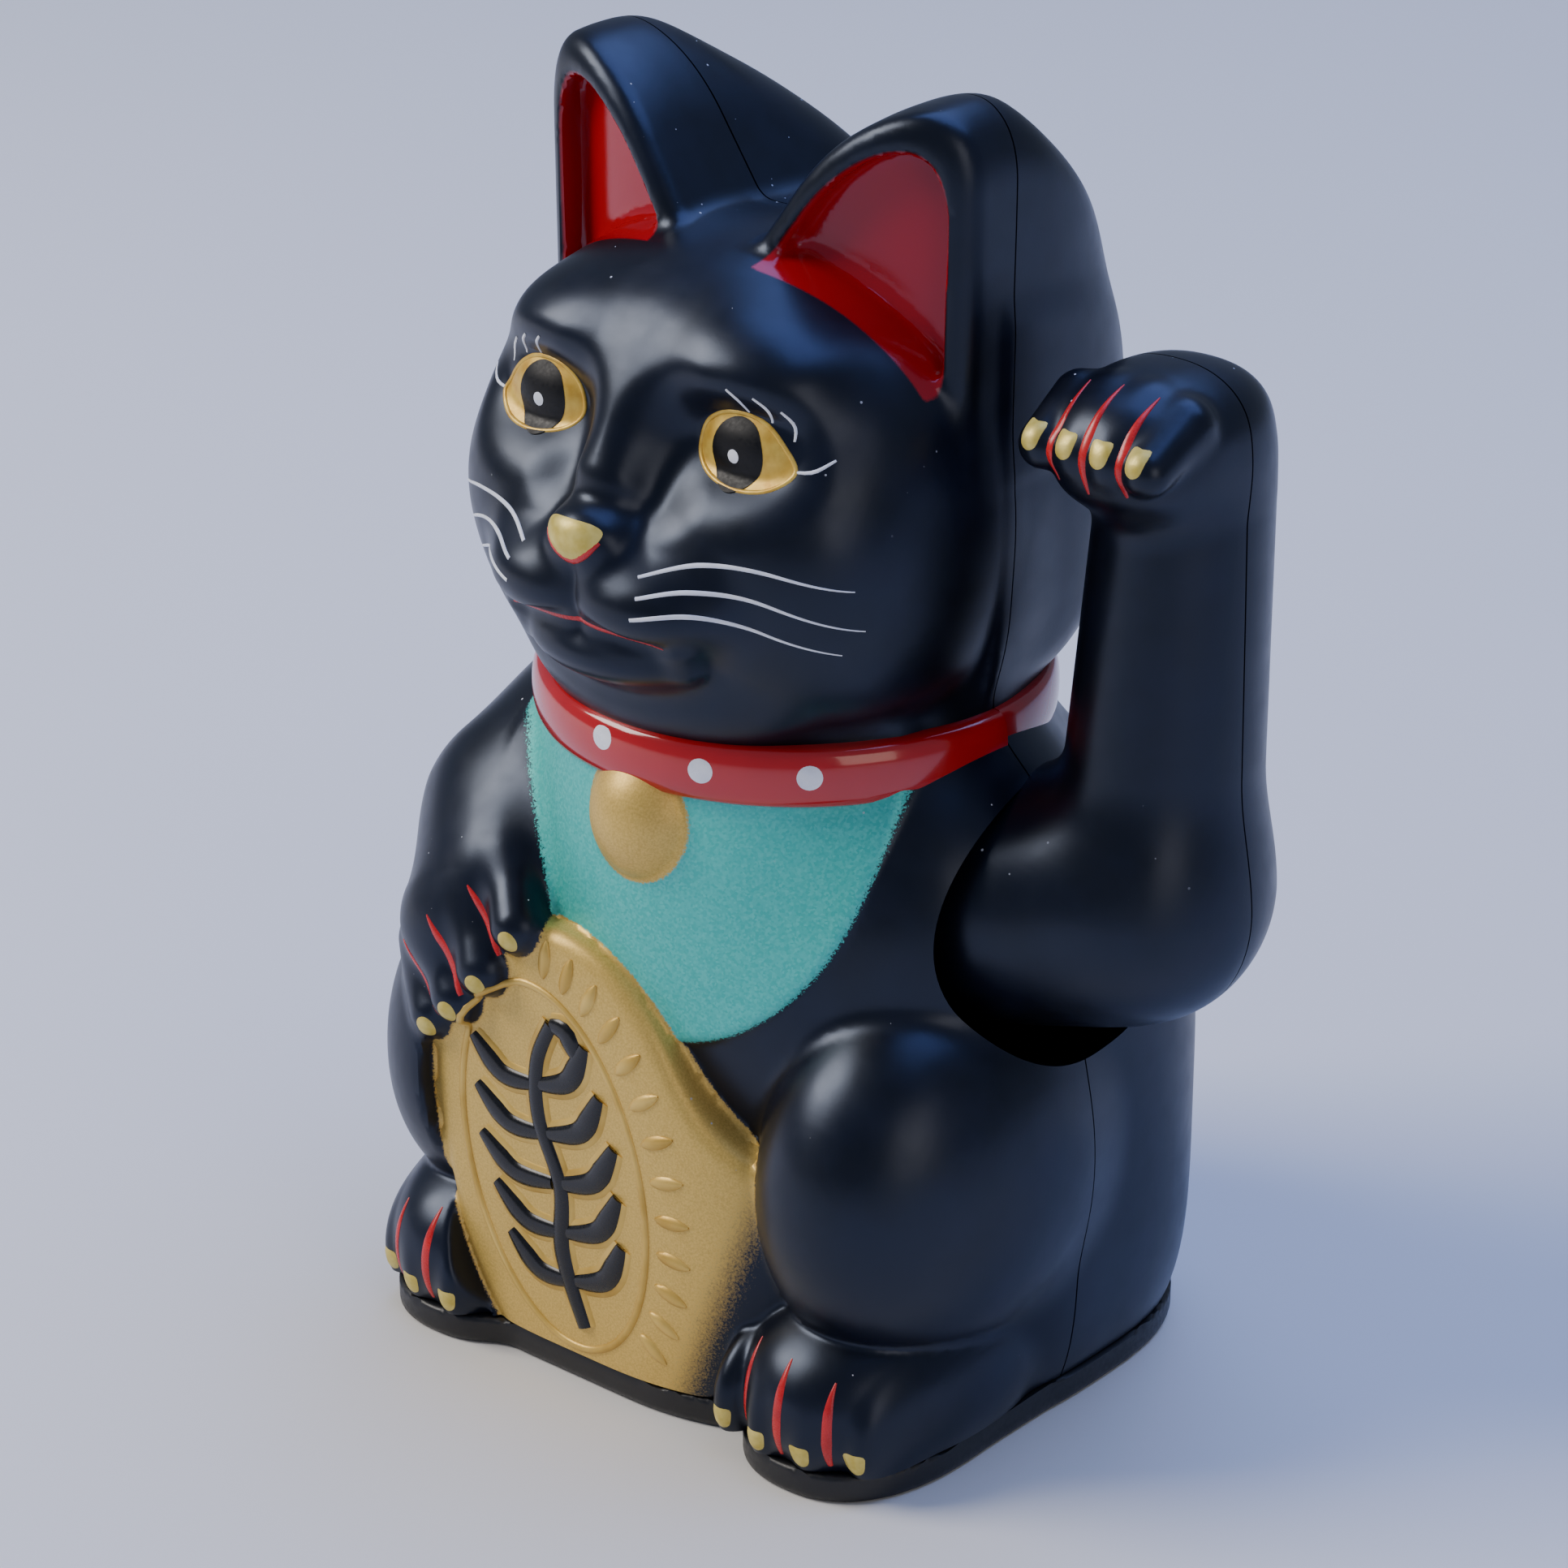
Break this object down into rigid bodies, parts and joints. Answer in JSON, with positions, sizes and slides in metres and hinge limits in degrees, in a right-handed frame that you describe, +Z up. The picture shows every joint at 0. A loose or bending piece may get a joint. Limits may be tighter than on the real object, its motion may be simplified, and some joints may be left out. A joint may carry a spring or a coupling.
{
  "type": "beckoning cat figurine",
  "caption": "Seated beckoning cat figurine with a swinging raised arm on a steel axle, driven by a battery, coil and magnet pendulum in its hollow body.",
  "frame": {"origin": "underside of the base plate, where the plane of the shells' seam crosses the cat's middle plane", "axes": "+Z up, -Y the way the cat faces, +X the side of the raised left arm"},
  "size_m": [0.1323, 0.098, 0.2],
  "materials": {
    "black_paint": "satin black paint over moulded polystyrene, with gold, red, white and pearl blue details",
    "red_gloss": "glossy red enamel",
    "dark_plastic": "fine-textured black ABS",
    "white_plastic": "natural white acetal",
    "steel": "zinc-plated steel",
    "plated_steel": "nickel-plated spring steel",
    "copper": "enamelled copper wire",
    "board": "green solder mask",
    "can": "sleeved aluminium can",
    "magnet": "dark sintered magnet",
    "cell_sleeve": "shrink sleeve, plain blue",
    "wire_red": "PVC insulation",
    "wire_black": "PVC insulation"
  },
  "bodies": {
    "body": {"front_shell": "black_paint", "rear_shell": "black_paint", "collar_front": "red_gloss", "collar_rear": "red_gloss", "base_plate": "dark_plastic", "battery_cell": "cell_sleeve", "contact_button_end": "plated_steel", "contact_spring_end": "plated_steel", "battery_spring": "plated_steel", "switch_body": "dark_plastic", "drive_frame": "white_plastic", "coil_bobbin": "white_plastic", "coil_winding": "copper", "circuit_board": "board", "capacitor": "can", "transistor": "dark_plastic", "shell_screw_1": "steel", "shell_screw_2": "steel", "shell_screw_3": "steel", "shell_screw_4": "steel", "frame_screw_1": "steel", "frame_screw_2": "steel", "board_screw_1": "steel", "board_screw_2": "steel", "wire_red": "wire_red", "wire_black": "wire_black"},
    "arm": {"arm_front_shell": "black_paint", "arm_rear_shell": "black_paint", "arm_axle": "steel", "axle_ring_1": "dark_plastic", "axle_ring_2": "dark_plastic", "pendulum_lever": "white_plastic", "pendulum_magnet": "magnet", "counterweight": "steel"},
    "door": {"battery_door": "dark_plastic"},
    "knob": {"switch_knob": "white_plastic"}
  },
  "joints": [
    {"name": "arm_swing", "type": "hinge", "parent": "body", "child": "arm", "pos_m": [0, 0.003, 0.081], "axis": [1, 0, 0], "range_deg": [-20, 20]},
    {"name": "door_hinge", "type": "hinge", "parent": "body", "child": "door", "pos_m": [0, 0.01405, 0.0014], "axis": [-1, 0, 0], "range_deg": [0, 95]},
    {"name": "switch_slide", "type": "slide", "parent": "body", "child": "knob", "axis": [0, 1, 0], "range_m": [0, 0.004]}
  ]
}
